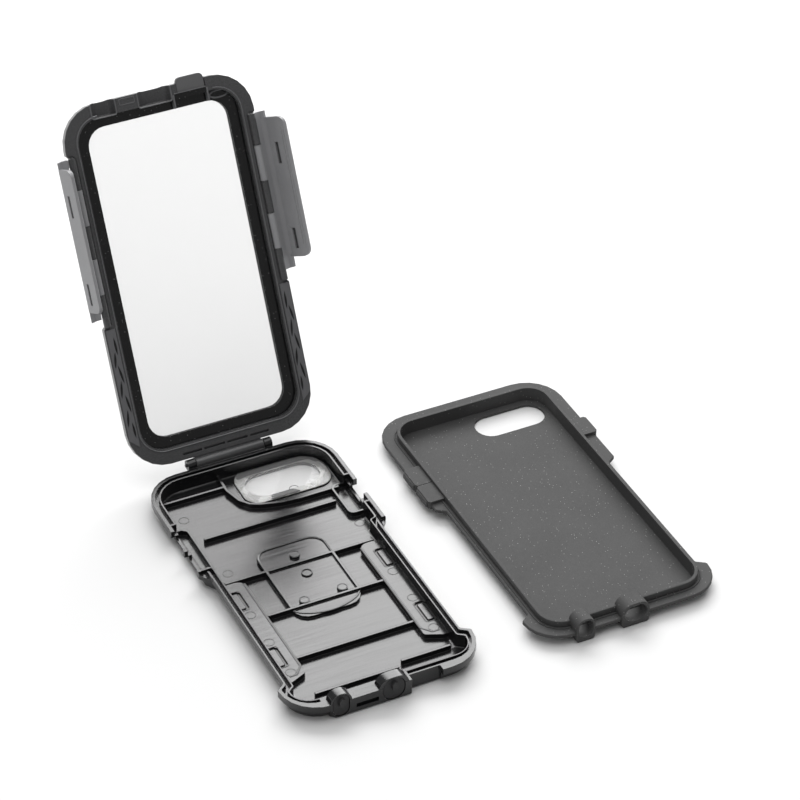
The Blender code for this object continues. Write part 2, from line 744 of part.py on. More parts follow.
def camera_window():
    """The clear camera pane and the bonding border between it and the floor."""
    low = FLOOR_THICKNESS + CLEARANCE
    margin = CAMERA_BORDER
    x = CAMERA_LENGTH / 2 + margin
    y = CAMERA_WIDTH / 2 + margin
    outer = box_outline(CAMERA_X - x, CAMERA_Y - y, CAMERA_X + x, CAMERA_Y + y, y * 0.6)
    inner_x = CAMERA_LENGTH / 2
    inner_y = CAMERA_WIDTH / 2
    inner = box_outline(
        CAMERA_X - inner_x, CAMERA_Y - inner_y, CAMERA_X + inner_x, CAMERA_Y + inner_y, inner_y * 0.98
    )
    bond = link(plate("camera_pane_bond", outer, low, low + GASKET_THICKNESS, holes=(inner,)), BOND_GREY)
    pane_low = low + GASKET_THICKNESS + CLEARANCE
    pane = link(plate("camera_pane", outer, pane_low, pane_low + PANE_THICKNESS), CLEAR)
    for piece in (bond, pane):
        bed = plate(piece.name + "_bed", cavity_outline(PANE_MARGIN), 0.0, RIM_TOP)
        apply_to(piece, "INTERSECT", [bed])


def port_plugs():
    """The soft plugs in the two ports, each with a pull tab."""
    for name, centre, _, width, _ in PORTS:
        plug = port_shape(name, centre, width, 0.0, TRAY_FRONT + 0.0003, TRAY_FRONT + PLUG_DEPTH)
        plug = link(plug, RUBBER_BLACK)
        top = COLLAR_TOP - PORT_WALL - CLEARANCE - 0.0010
        half = PLUG_TAB_WIDTH / 2
        outline = box_outline(centre - half, top - PLUG_TAB_HEIGHT, centre + half, top, half * 0.9, steps=3)
        tab = plate(name + "_tab", outline, TRAY_FRONT - PLUG_TAB_REACH, TRAY_FRONT + 0.0010, plane="XZ")
        join(plug, tab)
        smooth(plug)


def lid_outline(side, bay, rear, front, corner):
    """The lid's outline in its own frame: the hinge axis is at zero and the lid runs to -Y."""
    bay_rear = -LATCH_JOINTS[0]
    bay_front = -LATCH_JOINTS[-1]
    return case_outline(
        side, bay, -rear, -front, bay_rear + 0.0004, bay_front - 0.0004, 0.0002, 0.0002, corner
    )


def lid_length():
    return TRAY_REAR + HINGE_SETBACK - TRAY_FRONT - LID_FRONT_GAP


def lid_window_outline(side, rear, front, corner):
    return box_outline(-side, -(lid_length() - front), side, -rear, corner)


def lid_frame(pivot):
    """The lid's black frame with its window opening, knuckles, rail slots and arch recesses."""
    length = lid_length()
    outer = lid_outline(HALF_WIDTH, BAY_HALF_WIDTH, LID_GAP_AT_HINGE, length, CORNER_RADIUS)
    frame = link(plate("lid_frame", outer, 0.0, LID_THICKNESS, top=LID_EDGE, steps=2), LID_BLACK, pivot)
    opening = lid_window_outline(
        WINDOW_HALF_WIDTH, LID_GAP_AT_HINGE + WINDOW_REAR, WINDOW_FRONT, WINDOW_CORNER
    )
    seat = lid_window_outline(
        HALF_WIDTH - LID_RING_WIDTH,
        LID_GAP_AT_HINGE + LID_REAR_RING,
        LID_FRONT_RING,
        CORNER_RADIUS - LID_RING_WIDTH,
    )
    cuts = [
        plate("window_opening", opening, -0.001, LID_THICKNESS + 0.001),
        plate("window_seat", seat, -0.002, LID_THICKNESS - BEZEL_THICKNESS),
    ]
    slot_y = -(LID_GAP_AT_HINGE + RAIL_SLOT_FROM_EDGE)
    for index, (x0, x1) in enumerate(RAIL_SLOTS):
        cuts.append(
            block(
                f"rail_slot_{index}",
                (x0, x1),
                (slot_y - RAIL_SLOT_WIDTH / 2, slot_y + RAIL_SLOT_WIDTH / 2),
                (-0.001, RAIL_SLOT_DEPTH),
            )
        )
    for name, centre, width, _, corner in PORTS:
        cuts.append(arch_recess(name, centre, width, corner, length))
    cuts.append(
        block(
            "tab_seat",
            (LID_TAB[0] - CLEARANCE, LID_TAB[1] + CLEARANCE),
            (-length - 0.001, -length + LID_TAB_SEAT + CLEARANCE),
            (-0.001, LID_TAB_THICKNESS + CLEARANCE),
        )
    )
    cut(frame, *cuts)
    join(frame, *lid_knuckles(), *lid_hinge_barrel())
    cut(frame, hinge_bore("lid_pin_bore", 0.0, 0.0), *latch_bores("lid"))
    smooth(frame)


def arch_recess(name, centre, width, corner, length):
    """Room in the lid's front rail for a port collar."""
    half = width / 2 + ARCH_CLEARANCE
    top = COLLAR_TOP - HINGE_HEIGHT + ARCH_CLEARANCE
    outline = rounded(
        [
            (centre - half, -0.0060, 0.0),
            (centre + half, -0.0060, 0.0),
            (centre + half, top, corner),
            (centre - half, top, corner),
        ],
        6,
    )
    return plate(name + "_arch", outline, -length - 0.001, -length + ARCH_RECESS_LENGTH, plane="XZ")


def latch_segments(owner):
    """The stretches of a latch hinge that belong to the lid or to the latch, measured from the hinge axis."""
    first = 0 if owner == "lid" else 1
    pairs = list(zip(LATCH_JOINTS[:-1], LATCH_JOINTS[1:]))
    return [(start + KNUCKLE_GAP / 2, end - KNUCKLE_GAP / 2) for start, end in pairs[first::2]]


def lid_knuckles():
    """The lid's share of the latch hinges: three barrels a side, each on a short web."""
    pieces = []
    for side in (-1, 1):
        for index, (start, end) in enumerate(latch_segments("lid")):
            at = (side * LATCH_AXIS_X, -LATCH_AXIS_DROP)
            pieces.append(rod(f"knuckle_{side}_{index}", LATCH_RADIUS, -end, -start, "Y", at))
            x0, x1 = sorted((side * (BAY_HALF_WIDTH - 0.0010), side * LATCH_AXIS_X))
            pieces.append(
                block(
                    f"knuckle_web_{side}_{index}",
                    (x0, x1),
                    (-end + 0.0001, -start - 0.0001),
                    (0.0003, LATCH_RADIUS - LATCH_AXIS_DROP - 0.0001),
                )
            )
    return pieces


def latch_bores(owner):
    bores = []
    for side in (-1, 1):
        bores.append(latch_bore(f"{owner}_latch_bore_{side}", (side * LATCH_AXIS_X, -LATCH_AXIS_DROP)))
    return bores


def latch_bore(name, at):
    return rod(
        name, LATCH_PIN_RADIUS + CLEARANCE, -LATCH_JOINTS[-1] - 0.001, -LATCH_JOINTS[0] + 0.001, "Y", at, 10
    )


def lid_hinge_barrel():
    """The long barrel between the tray's ears, and the web that carries it."""
    barrel = rod("lid_barrel", HINGE_RADIUS, *LID_KNUCKLE, "X")
    section = [(-0.0050, 0.0006), (-0.0002, 0.0002), (0.0002, 0.0024), (-0.0050, 0.0032)]
    web = plate("lid_barrel_web", section, LID_KNUCKLE[0] + 0.0002, LID_KNUCKLE[1] - 0.0002, plane="YZ")
    return [barrel, web]


def lid_window(pivot):
    """The clear front pane and the black seal round it, both in the frame's seat."""
    fit = HALF_WIDTH - LID_RING_WIDTH - CLEARANCE
    rear = LID_GAP_AT_HINGE + LID_REAR_RING + CLEARANCE
    front = LID_FRONT_RING + CLEARANCE
    outline = lid_window_outline(fit, rear, front, CORNER_RADIUS - LID_RING_WIDTH - CLEARANCE)
    clear = lid_window_outline(
        WINDOW_HALF_WIDTH, LID_GAP_AT_HINGE + WINDOW_REAR, WINDOW_FRONT, WINDOW_CORNER
    )
    pane_top = LID_THICKNESS - BEZEL_THICKNESS - CLEARANCE
    pane_low = pane_top - WINDOW_THICKNESS
    seal_top = pane_low - CLEARANCE
    link(plate("lid_window", outline, pane_low, pane_top), CLEAR, pivot)
    seal = plate("window_seal", outline, seal_top - WINDOW_GASKET_THICKNESS, seal_top, holes=(clear,))
    link(seal, BORDER_BLACK, pivot)


def lid_tab(pivot):
    """The soft pull tab seated in the lid's front rail."""
    length = lid_length()
    outline = rounded(
        [
            (LID_TAB[0], -length + LID_TAB_SEAT, 0.0),
            (LID_TAB[0], -length - LID_TAB_REACH, 0.0022),
            (LID_TAB[1], -length - LID_TAB_REACH, 0.0022),
            (LID_TAB[1], -length + LID_TAB_SEAT, 0.0),
        ],
        4,
    )
    tab = plate("lid_tab", outline, 0.0004, LID_TAB_THICKNESS, top=0.0008, steps=2)
    smooth(link(tab, RUBBER_BLACK, pivot))


def latch(name, side, pivot):
    """One side latch: barrels on the pin, a web down the case's side and a foot that hooks under the tray."""
    start = LATCH_JOINTS[0] + LATCH_REAR_CUT
    end = LATCH_JOINTS[-1] - KNUCKLE_GAP
    section = [
        (LATCH_WEB_OUTER, LATCH_WEB_TOP),
        (LATCH_WEB_INNER, LATCH_WEB_TOP),
        (LATCH_WEB_INNER, LATCH_FOOT_TOP + 0.0010),
        (LATCH_WEB_INNER - 0.0010, LATCH_FOOT_TOP),
        (-LATCH_REACH + 0.0006, LATCH_FOOT_TOP),
        (-LATCH_REACH, LATCH_FOOT_TOP - 0.0005),
        (-LATCH_REACH, LATCH_FOOT_BOTTOM),
        (LATCH_WEB_OUTER - LATCH_CHAMFER, LATCH_FOOT_BOTTOM),
        (LATCH_WEB_OUTER, LATCH_FOOT_BOTTOM + LATCH_CHAMFER),
    ]
    points = [(side * x, z) for x, z in section]
    piece = link(plate(name, points, -end, -start, plane="XZ"), LATCH_BLACK, pivot)
    parts = []
    for index, (low, high) in enumerate(latch_segments("latch")):
        parts.append(rod(f"{name}_barrel_{index}", LATCH_RADIUS, -high, -low, "Y"))
        x0, x1 = sorted((side * (LATCH_WEB_INNER + 0.0001), side * (LATCH_WEB_OUTER - 0.0004)))
        parts.append(
            block(
                f"{name}_neck_{index}",
                (x0, x1),
                (-high + 0.0001, -low - 0.0001),
                (LATCH_WEB_TOP - 0.0005, 0.0),
            )
        )
    join(piece, *parts)
    cuts = [latch_bore(name + "_bore", (0.0, 0.0))]
    for index, (low, high) in enumerate(LATCH_SLOTS):
        x0, x1 = sorted((side * LATCH_SLOT_INNER, side * (LATCH_SLOT_INNER + LATCH_SLOT_WIDTH)))
        slot = block(
            f"{name}_slot_{index}",
            (x0, x1),
            (-high, -low),
            (LATCH_FOOT_BOTTOM - 0.001, LATCH_FOOT_TOP + 0.001),
        )
        cuts.append(slot)
    cuts += latch_end_cuts(name, side, start, end)
    cut(piece, *cuts)
    smooth(piece)


def latch_end_cuts(name, side, start, end):
    """Cuts the foot back to the room under the tray's platform and rounds its two outer corners."""
    hinge_y = TRAY_REAR + HINGE_SETBACK
    ends = (
        (PLATFORM_REAR - UNDERCUT_MARGIN - FOOT_END_GAP - hinge_y, -start, 1.0),
        (PLATFORM_FRONT + FOOT_END_GAP - hinge_y, -end, -1.0),
    )
    cuts = []
    for index, (limit, tip, outward) in enumerate(ends):
        beyond = tip + outward * 0.001
        outline = [(-LATCH_REACH - 0.001, limit - outward * LATCH_END_RADIUS)]
        for step in range(ARC_STEPS + 1):
            angle = step / ARC_STEPS * math.pi / 2
            x = -LATCH_REACH + LATCH_END_RADIUS * (1 - math.cos(angle))
            outline.append((x, limit - outward * LATCH_END_RADIUS * (1 - math.sin(angle))))
        outline += [(-FOOT_ROOT, limit), (-FOOT_ROOT, beyond), (-LATCH_REACH - 0.001, beyond)]
        points = [(side * x, y) for x, y in outline]
        cuts.append(
            plate(f"{name}_end_{index}", points, LATCH_FOOT_BOTTOM - 0.001, LATCH_FOOT_TOP + 0.0003)
        )
    return cuts


def latch_pin(name, side, pivot):
    start = LATCH_JOINTS[0] + 0.0006
    end = LATCH_JOINTS[-1] - 0.0006
    at = (side * LATCH_AXIS_X, -LATCH_AXIS_DROP)
    smooth(link(rod(name + "_pin", LATCH_PIN_RADIUS, -end, -start, "Y", at, 10), PIN_BLACK, pivot))


def liner_outline(offset=0.0):
    return case_outline(
        LINER_HALF_WIDTH + offset,
        LINER_BAY_HALF_WIDTH + offset,
        LINER_REAR + offset,
        LINER_FRONT - offset,
        BAY_REAR - 0.0003,
        BAY_FRONT - 0.0003,
        0.0030,
        FLARE,
        CORNER_RADIUS + offset,
    )


def liner(place):
    """The soft grey tub that holds the phone, with its flange, lip, button pads and port hoods."""
    lip = box_outline(
        -PHONE_HALF_WIDTH - LINER_WALL,
        PHONE_FRONT - LINER_WALL,
        PHONE_HALF_WIDTH + LINER_WALL,
        PHONE_REAR + LINER_WALL,
        PHONE_CORNER + LINER_WALL,
    )
    cavity = box_outline(-PHONE_HALF_WIDTH, PHONE_FRONT, PHONE_HALF_WIDTH, PHONE_REAR, PHONE_CORNER)
    tub = plate("liner", lip, 0.0, LINER_LIP_TOP, top=0.0005, bottom=0.0016, steps=2)
    tub = link(tub, LINER_GREY, place)
    flange_low = LINER_FLANGE_TOP - LINER_FLANGE_THICKNESS
    flange = plate("liner_flange", liner_outline(), flange_low, LINER_FLANGE_TOP, top=0.0004, steps=1)
    join(tub, flange, *liner_pads(flange_low), *liner_hoods())
    cuts = [plate("phone_bed", cavity, LINER_FLOOR, LINER_LIP_TOP + 0.006)]
    half_length = CAMERA_LENGTH / 2 - 0.0004
    half_width = CAMERA_WIDTH / 2 - 0.0007
    hole = box_outline(
        CAMERA_X - 0.0008 - half_length,
        CAMERA_Y - 0.0034 - half_width,
        CAMERA_X - 0.0008 + half_length,
        CAMERA_Y - 0.0034 + half_width,
        half_width * 0.98,
    )
    cuts.append(plate("liner_camera_hole", hole, -0.001, LINER_FLOOR + 0.001))
    cuts += liner_port_holes()
    cut(tub, *cuts)
    smooth(tub)


def liner_pads(low):
    """The pads that stand out through the tray's rim notches."""
    pads = []
    for index, (side, rear, front) in enumerate(LINER_PADS):
        x0, x1 = sorted((side * (PHONE_HALF_WIDTH + 0.001), side * (LINER_HALF_WIDTH + PAD_REACH)))
        outline = box_outline(x0, front, x1, rear, 0.0010, steps=2)
        pads.append(plate(f"pad_{index}", outline, low - 0.0010, LINER_FLANGE_TOP + 0.0016))
    return pads


def liner_hoods():
    """Rounded hoods over the two ports at the liner's front."""
    hoods = []
    for name, centre, width, _, corner in PORTS:
        half = width / 2 - PORT_WALL
        outline = rounded(
            [
                (centre - half, 0.0002, 0.0008),
                (centre + half, 0.0002, 0.0008),
                (centre + half, LINER_PORT_TOP, corner - PORT_WALL),
                (centre - half, LINER_PORT_TOP, corner - PORT_WALL),
            ],
            6,
        )
        hoods.append(plate(name + "_hood", outline, LINER_FRONT - 0.0010, PHONE_FRONT + 0.0005, plane="XZ"))
    return hoods


def liner_port_holes():
    """Openings through the hoods, open into the phone bed."""
    holes = []
    for name, centre, width, _, corner in PORTS:
        half = width / 2 - 2.6 * PORT_WALL
        top = LINER_PORT_TOP - 1.6 * PORT_WALL
        outline = box_outline(centre - half, 0.0022, centre + half, top, min(half * 0.9, corner), steps=5)
        holes.append(plate(name + "_passage", outline, LINER_FRONT - 0.002, PHONE_FRONT + 0.001, plane="XZ"))
    return holes


def empty(name, parent, location):
    pivot = bpy.data.objects.new(name, None)
    pivot.empty_display_size = 0.01
    CASE.objects.link(pivot)
    pivot.parent = parent
    pivot.location = location
    return pivot


def build():
    rear_tray()
    camera_window()
    port_plugs()
    hinge_pin()
    lid_pivot = empty("lid_pivot", None, (0.0, TRAY_REAR + HINGE_SETBACK, HINGE_HEIGHT))
    lid_pivot.rotation_euler.x = -LID_OPEN_ANGLE
    lid_frame(lid_pivot)
    lid_window(lid_pivot)
    lid_tab(lid_pivot)
    for name, side, angle in LATCH_ANGLES:
        pivot = empty(name + "_pivot", lid_pivot, (side * LATCH_AXIS_X, 0.0, -LATCH_AXIS_DROP))
        pivot.rotation_euler.y = -side * angle
        latch(name, side, pivot)
        latch_pin(name, side, lid_pivot)
    liner(empty("liner_place", None, (LINER_X, LINER_Y, 0.0)))


build()
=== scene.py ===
"""Looks of the hinged waterproof phone case and its soft liner: finishes, small moulded details, studio."""

import math

import bmesh
import bpy
from mathutils import Matrix, Vector


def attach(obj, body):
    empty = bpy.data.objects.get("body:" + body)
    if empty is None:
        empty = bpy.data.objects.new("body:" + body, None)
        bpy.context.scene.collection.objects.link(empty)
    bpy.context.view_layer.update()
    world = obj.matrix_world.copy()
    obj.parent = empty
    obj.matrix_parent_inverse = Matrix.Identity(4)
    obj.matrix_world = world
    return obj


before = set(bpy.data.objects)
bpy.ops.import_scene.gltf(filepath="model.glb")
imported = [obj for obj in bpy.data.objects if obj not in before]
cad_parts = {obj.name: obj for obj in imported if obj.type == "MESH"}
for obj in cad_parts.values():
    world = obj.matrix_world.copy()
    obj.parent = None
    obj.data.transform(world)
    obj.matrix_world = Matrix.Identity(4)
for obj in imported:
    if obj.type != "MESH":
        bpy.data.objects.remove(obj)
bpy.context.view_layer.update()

MM = 0.001

# Camera, light and floor: metres and degrees, with the lens and its sensor in millimetres
CAMERA_PLACE = (-0.45611, -1.03404, 0.95244)
CAMERA_PITCH = 36.955
CAMERA_HEADING = 25.912
CAMERA_ROLL = 0.186
LENS_LENGTH = 145.38
SENSOR_WIDTH = 36.0
NEAREST_SEEN = 0.05
FARTHEST_SEEN = 60.0
SKY_STRENGTH = 0.30
FLOOR_REACH = 6.0
FLOOR_GAP = 0.0002

# Edges of the mouldings: the roll is in millimetres and the weld in metres
EDGE_ROLL = 0.3
EDGE_SAMPLES = 6
CREASE_DEGREES = 32.0
WELD_DISTANCE = 2e-6

# Places of the lid, the liner and the latches, in metres, and how far the lid and each latch are swung open
LID_HINGE = (0.0, 0.091, 0.009)
LID_OPEN = 115.8
LINER_PLACE = (0.1193, -0.0017, 0.0)
LATCH_HINGE_OUT = 0.045
LATCH_HINGE_DROP = 0.0001
LATCHES = (("left_latch", -1, 80.0), ("right_latch", 1, 118.0))

# How deep a ridge's foot is sunk, in millimetres
SUNK = 0.06

# Faces that the small forms stand on: millimetres along Z, in the frame of the part that carries them
FLOOR_TOP = 1.3
BOND_TOP = 2.0
PANEL_TOP = 2.7
MIDDLE_BOSS_TOP = 3.0
BOSS_TOP = 3.9
PLATFORM_TOP = 3.8
PORT_BLOCK_TOP = 8.2
BORDER_FACE = 2.8
LEAF_FACE = -6.7
SLOT_FLOOR = -7.6
FLANGE_TOP = 5.3

# Blind pockets in the side platforms, in millimetres: across, and from front to rear
POCKET_INNER = 33.8
POCKET_OUTER = 39.5
POCKET_RUNS = ((-11.3, 2.0), (-53.8, -39.8))


# Studio

def place_camera():
    """The photograph's view: a long lens, well above the case and a little to its left."""
    pitch = math.radians(CAMERA_PITCH)
    heading = math.radians(CAMERA_HEADING)
    roll = math.radians(CAMERA_ROLL)
    forward = Vector((
        math.sin(heading) * math.cos(pitch), math.cos(heading) * math.cos(pitch), -math.sin(pitch)))
    right = Vector((math.cos(heading), -math.sin(heading), 0.0))
    up = right.cross(forward)
    rolled_right = math.cos(roll) * right + math.sin(roll) * up
    rolled_up = math.cos(roll) * up - math.sin(roll) * right
    lens = bpy.data.cameras.new("studio_camera")
    lens.lens = LENS_LENGTH
    lens.sensor_width = SENSOR_WIDTH
    lens.clip_start = NEAREST_SEEN
    lens.clip_end = FARTHEST_SEEN
    camera = bpy.data.objects.new("studio_camera", lens)
    bpy.context.scene.collection.objects.link(camera)
    axes = Matrix((rolled_right, rolled_up, -forward)).transposed().to_4x4()
    camera.matrix_world = Matrix.Translation(CAMERA_PLACE) @ axes
    bpy.context.scene.camera = camera


def area_light(name, centre, target, size, power):
    """A rectangular light panel that faces its target."""
    light = bpy.data.lights.new(name, "AREA")
    light.shape = "RECTANGLE"
    light.size, light.size_y = size
    light.energy = power
    lamp = bpy.data.objects.new(name, light)
    bpy.context.scene.collection.objects.link(lamp)
    lamp.location = centre
    lamp.rotation_euler = (Vector(target) - Vector(centre)).to_track_quat("-Z", "Y").to_euler()


def light_studio():
    """Soft white light: a wide panel behind the case that its gloss mirrors, one overhead, one in front."""
    world = bpy.data.worlds.new("studio")
    world.use_nodes = True
    sky = world.node_tree.nodes["Background"]
    sky.inputs["Color"].default_value = (1.0, 1.0, 1.0, 1.0)
    sky.inputs["Strength"].default_value = SKY_STRENGTH
    bpy.context.scene.world = world
    bpy.context.scene.view_settings.view_transform = "Standard"
    area_light("back_panel", centre=(0.80, 1.75, 1.45), target=(0.05, 0.02, 0.02),
               size=(2.8, 1.4), power=92.0)
    area_light("top_panel", centre=(0.15, 0.10, 1.90), target=(0.05, 0.0, 0.0),
               size=(2.0, 2.0), power=21.0)
    area_light("front_panel", centre=(-1.60, -0.60, 1.30), target=(0.0, 0.05, 0.08),
               size=(0.9, 0.9), power=5.0)


def lay_floor():
    """A plain white paper floor under everything."""
    corners = [(x * FLOOR_REACH, y * FLOOR_REACH, 0.0) for x, y in ((-1, -1), (1, -1), (1, 1), (-1, 1))]
    mesh = bpy.data.meshes.new("paper_floor")
    mesh.from_pydata(corners, [], [(0, 1, 2, 3)])
    floor = bpy.data.objects.new("paper_floor", mesh)
    bpy.context.scene.collection.objects.link(floor)
    floor.location.z = -FLOOR_GAP
    material = bpy.data.materials.new("white_paper")
    material.use_nodes = True
    paper = material.node_tree.nodes["Principled BSDF"]
    paper.inputs["Base Color"].default_value = linear("#DADADA")
    paper.inputs["Roughness"].default_value = 0.9
    paper.inputs["Specular IOR Level"].default_value = 0.1
    mesh.materials.append(material)


# Material helpers

def linear(code):
    """An sRGB hex colour as linear RGBA."""
    channels = [int(code[i:i + 2], 16) / 255 for i in (1, 3, 5)]
    return tuple(c / 12.92 if c <= 0.04045 else ((c + 0.055) / 1.055) ** 2.4 for c in channels) + (1.0,)


def add(tree, kind, inputs=None, **settings):
    """Adds a shader node; each input is a value or another node's output socket."""
    made = tree.nodes.new("ShaderNode" + kind)
    for name, value in settings.items():
        setattr(made, name, value)
    for name, value in (inputs or {}).items():
        if isinstance(value, bpy.types.NodeSocket):
            tree.links.new(value, made.inputs[name])
        else:
            made.inputs[name].default_value = value
    return made


def new_finish(name, color, roughness, **sockets):
    """A new material: its tree, its Principled shader and the mesh's own coordinates in metres."""
    material = bpy.data.materials.new(name)
    material.use_nodes = True
    tree = material.node_tree
    shader = tree.nodes["Principled BSDF"]
    shader.inputs["Base Color"].default_value = linear(color)
    shader.inputs["Roughness"].default_value = roughness
    for socket, value in sockets.items():
        shader.inputs[socket.replace("_", " ")].default_value = value
    where = add(tree, "TexCoord").outputs["Object"]
    return material, tree, shader, where


def drawn_out(size_mm, stretch):
    """The scale that makes a pattern's lumps size_mm across, times stretch along each axis."""
    return [1 / (size_mm * MM * along) for along in stretch]


def pigment(tree, where, cloud_mm, detail, dark, light):
    """Colour that drifts between two greys, as pigment does in a moulding, in clouds cloud_mm across."""
    cloud = add(tree, "TexNoise", {"Vector": where, "Scale": 1 / (cloud_mm * MM), "Detail": detail})
    drift = add(tree, "Mix", {
        "Factor": cloud.outputs["Fac"], "A": linear(dark), "B": linear(light)}, data_type="RGBA")
    return drift.outputs["Result"]


def uneven_gloss(tree, shader, lumps, smooth, rough):
    """Lets the roughness run from smooth to rough over the middle of a noise, where most of it lies."""
    gloss = add(tree, "MapRange", {
        "Value": lumps.outputs["Fac"], "From Min": 0.3, "From Max": 0.7, "To Min": smooth, "To Max": rough})
    tree.links.new(gloss.outputs["Result"], shader.inputs["Roughness"])


def tool_grain(tree, shader, where, pit_mm, detail, gloss, depth_mm, rolled):
    """The fine pits that a tool leaves in a moulding, which break up its gloss.

    Where rolled is true, the normal also rolls over every edge, so that the edge catches a line of light."""
    pits = add(tree, "TexNoise", {"Vector": where, "Scale": 1 / (pit_mm * MM), "Detail": detail})
    uneven_gloss(tree, shader, pits, *gloss)
    pressed = add(tree, "Bump", {"Height": pits.outputs["Fac"], "Distance": depth_mm * MM, "Strength": 0.5})
    if rolled:
        edges = add(tree, "Bevel", {"Radius": EDGE_ROLL * MM}, samples=EDGE_SAMPLES)
        tree.links.new(edges.outputs["Normal"], pressed.inputs["Normal"])
    tree.links.new(pressed.outputs["Normal"], shader.inputs["Normal"])


def dusted(tree, where, spacing_mm, ground, dust):
    """A ground colour with grains of dust on about half of the cells that lie spacing_mm apart.

    Real dust is finer: each grain is drawn as coarse as it needs to show."""
    grain_reach = 0.13
    grain_core = 0.6 * grain_reach
    cells = add(tree, "TexVoronoi", {"Vector": where, "Scale": 1 / (spacing_mm * MM)})
    chance = add(tree, "SeparateColor", {"Color": cells.outputs["Color"]})
    grain = add(tree, "MapRange", {
        "Value": cells.outputs["Distance"], "From Min": grain_core, "From Max": grain_reach,
        "To Min": 1.0, "To Max": 0.0})
    chosen = add(tree, "MapRange", {"Value": chance.outputs["Red"], "From Min": 0.45, "From Max": 0.5})
    both = add(tree, "Math", {0: grain.outputs["Result"], 1: chosen.outputs["Result"]},
               operation="MULTIPLY", use_clamp=True)
    mixed = add(tree, "Mix", {
        "Factor": both.outputs["Value"], "A": ground, "B": linear(dust)}, data_type="RGBA")
    return mixed.outputs["Result"]


# Finishes

def polished_abs():
    """ABS, moulded in a polished tool: deep black, mirror-like, with faint flow lines across the shell.

    The flow lines are 1.3 mm apart and drawn out across the shell; the sink waves are 9 mm apart."""
    material, tree, shader, where = new_finish("abs_polished_moulded", "#161617", 0.2, IOR=1.53)
    tree.links.new(pigment(tree, where, 22.0, 2.0, "#121213", "#1D1D1E"), shader.inputs["Base Color"])
    stream = add(tree, "Mapping", {"Vector": where, "Scale": drawn_out(1.3, (26.0, 1.0, 9.0))})
    flow = add(tree, "TexNoise", {"Vector": stream.outputs["Vector"], "Scale": 1.0, "Detail": 3.0})
    uneven_gloss(tree, shader, flow, 0.16, 0.26)
    swell = add(tree, "Mapping", {"Vector": where, "Scale": drawn_out(9.0, (2.0, 1.0, 2.0))})
    waves = add(tree, "TexNoise", {"Vector": swell.outputs["Vector"], "Scale": 1.0, "Detail": 1.0})
    edges = add(tree, "Bevel", {"Radius": EDGE_ROLL * MM}, samples=EDGE_SAMPLES)
    sunken = add(tree, "Bump", {
        "Height": waves.outputs["Fac"], "Distance": 0.04 * MM, "Strength": 0.3,
        "Normal": edges.outputs["Normal"]})
    lined = add(tree, "Bump", {
        "Height": flow.outputs["Fac"], "Distance": 0.003 * MM, "Strength": 0.3,
        "Normal": sunken.outputs["Normal"]})
    tree.links.new(lined.outputs["Normal"], shader.inputs["Normal"])
    return material


def spark_grained(name, dark, light, roughness, pit_depth):
    """ABS or TPE, moulded in a spark-eroded tool: a fine grain gives it a soft grey sheen.

    The pits of a spark-eroded tool are under 0.1 mm wide. They are drawn at 0.28 mm, so that they show."""
    material, tree, shader, where = new_finish(name, dark, roughness, IOR=1.53)
    tree.links.new(pigment(tree, where, 14.0, 3.0, dark, light), shader.inputs["Base Color"])
    gloss = (roughness - 0.06, roughness + 0.08)
    tool_grain(tree, shader, where, 0.28, 2.0, gloss, pit_depth, rolled=True)
    return material


def matt_silicone():
    """Silicone rubber, compression moulded: matt charcoal that holds fine dust.

    The skin's pits are drawn at 0.45 mm, coarser than a blasted tool leaves them, so that they show."""
    material, tree, shader, where = new_finish("silicone_matt_moulded", "#4A4A4B", 0.8, IOR=1.41)
    ground = pigment(tree, where, 30.0, 4.0, "#3D3D3D", "#494949")
    tree.links.new(dusted(tree, where, 1.4, ground, "#A8A8A6"), shader.inputs["Base Color"])
    tool_grain(tree, shader, where, 0.45, 3.0, (0.70, 0.90), 0.03, rolled=True)
    return material


def plug_rubber():
    """TPE plug rubber, injection moulded: soft black with a dull bloom, uneven every 0.6 mm or so."""
    material, tree, shader, where = new_finish("tpe_soft_moulded", "#1E1E1F", 0.5, IOR=1.48)
    tree.links.new(pigment(tree, where, 0.6, 3.0, "#1E1E1F", "#2A2A2B"), shader.inputs["Base Color"])
    tool_grain(tree, shader, where, 0.6, 3.0, (0.5, 0.7), 0.02, rolled=False)
    return material


def border_ink():
    """Black ink printed behind the pane: glossy, near black, with pinholes that catch the light."""
    material, tree, shader, where = new_finish("ink_border_printed", "#0B0B0C", 0.16, IOR=1.5)
    ground = pigment(tree, where, 7.0, 3.0, "#090909", "#151516")
    tree.links.new(dusted(tree, where, 1.5, ground, "#8C8C8C"), shader.inputs["Base Color"])
    layer = add(tree, "TexNoise", {"Vector": where, "Scale": 1 / (5.0 * MM), "Detail": 2.0})
    uneven_gloss(tree, shader, layer, 0.10, 0.30)
    return material


def clear_sheet(name, alpha, color):
    """Polycarbonate sheet, press polished: clear, with the faintest grey and waves 18 mm apart."""
    material, tree, shader, where = new_finish(name, color, 0.05, IOR=1.58, Alpha=alpha)
    haze = add(tree, "TexNoise", {"Vector": where, "Scale": 1 / (18.0 * MM), "Detail": 2.0})
    uneven_gloss(tree, shader, haze, 0.03, 0.08)
    wavy = add(tree, "Bump", {"Height": haze.outputs["Fac"], "Distance": 0.02 * MM, "Strength": 0.1})
    tree.links.new(wavy.outputs["Normal"], shader.inputs["Normal"])
    return material


